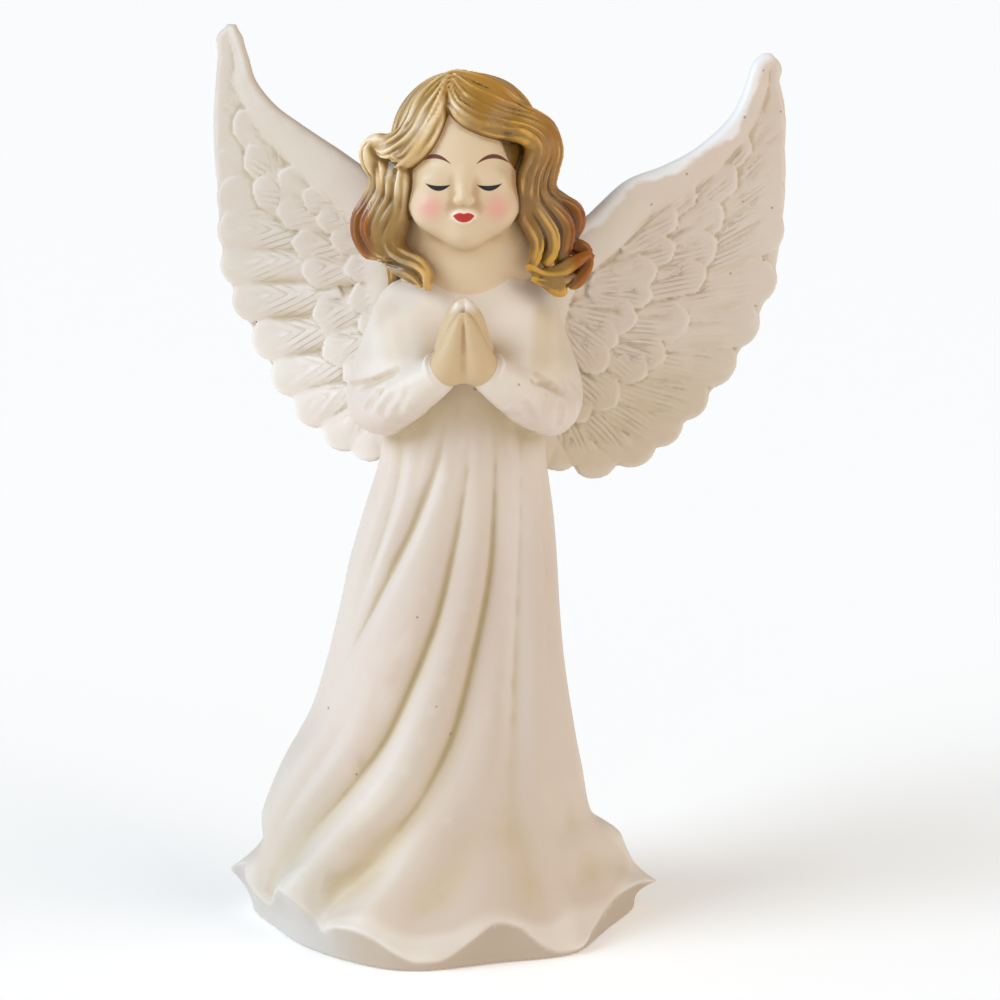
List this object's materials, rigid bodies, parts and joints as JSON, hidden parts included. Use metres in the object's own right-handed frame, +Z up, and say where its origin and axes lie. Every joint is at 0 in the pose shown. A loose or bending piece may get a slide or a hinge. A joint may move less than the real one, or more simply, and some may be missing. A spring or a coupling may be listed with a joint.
{
  "type": "praying angel figurine",
  "caption": "Small painted resin angel standing in a long swept gown, hands pressed in prayer, eyes closed, wavy hair to the shoulders and tall feathered wings raised behind.",
  "frame": {"origin": "middle of the whole figure's bounding box, on the surface that it stands on", "axes": "+Z up; the figure faces -Y; +X towards its own left wing"},
  "size_m": [0.0974, 0.0487, 0.1497],
  "materials": {
    "painted_resin": "hand-painted cast resin: satin ivory gown and wings with a tan wash in the folds, beige skin, golden-brown hair"
  },
  "bodies": {
    "root": {"angel_figurine": "painted_resin"}
  },
  "joints": []
}
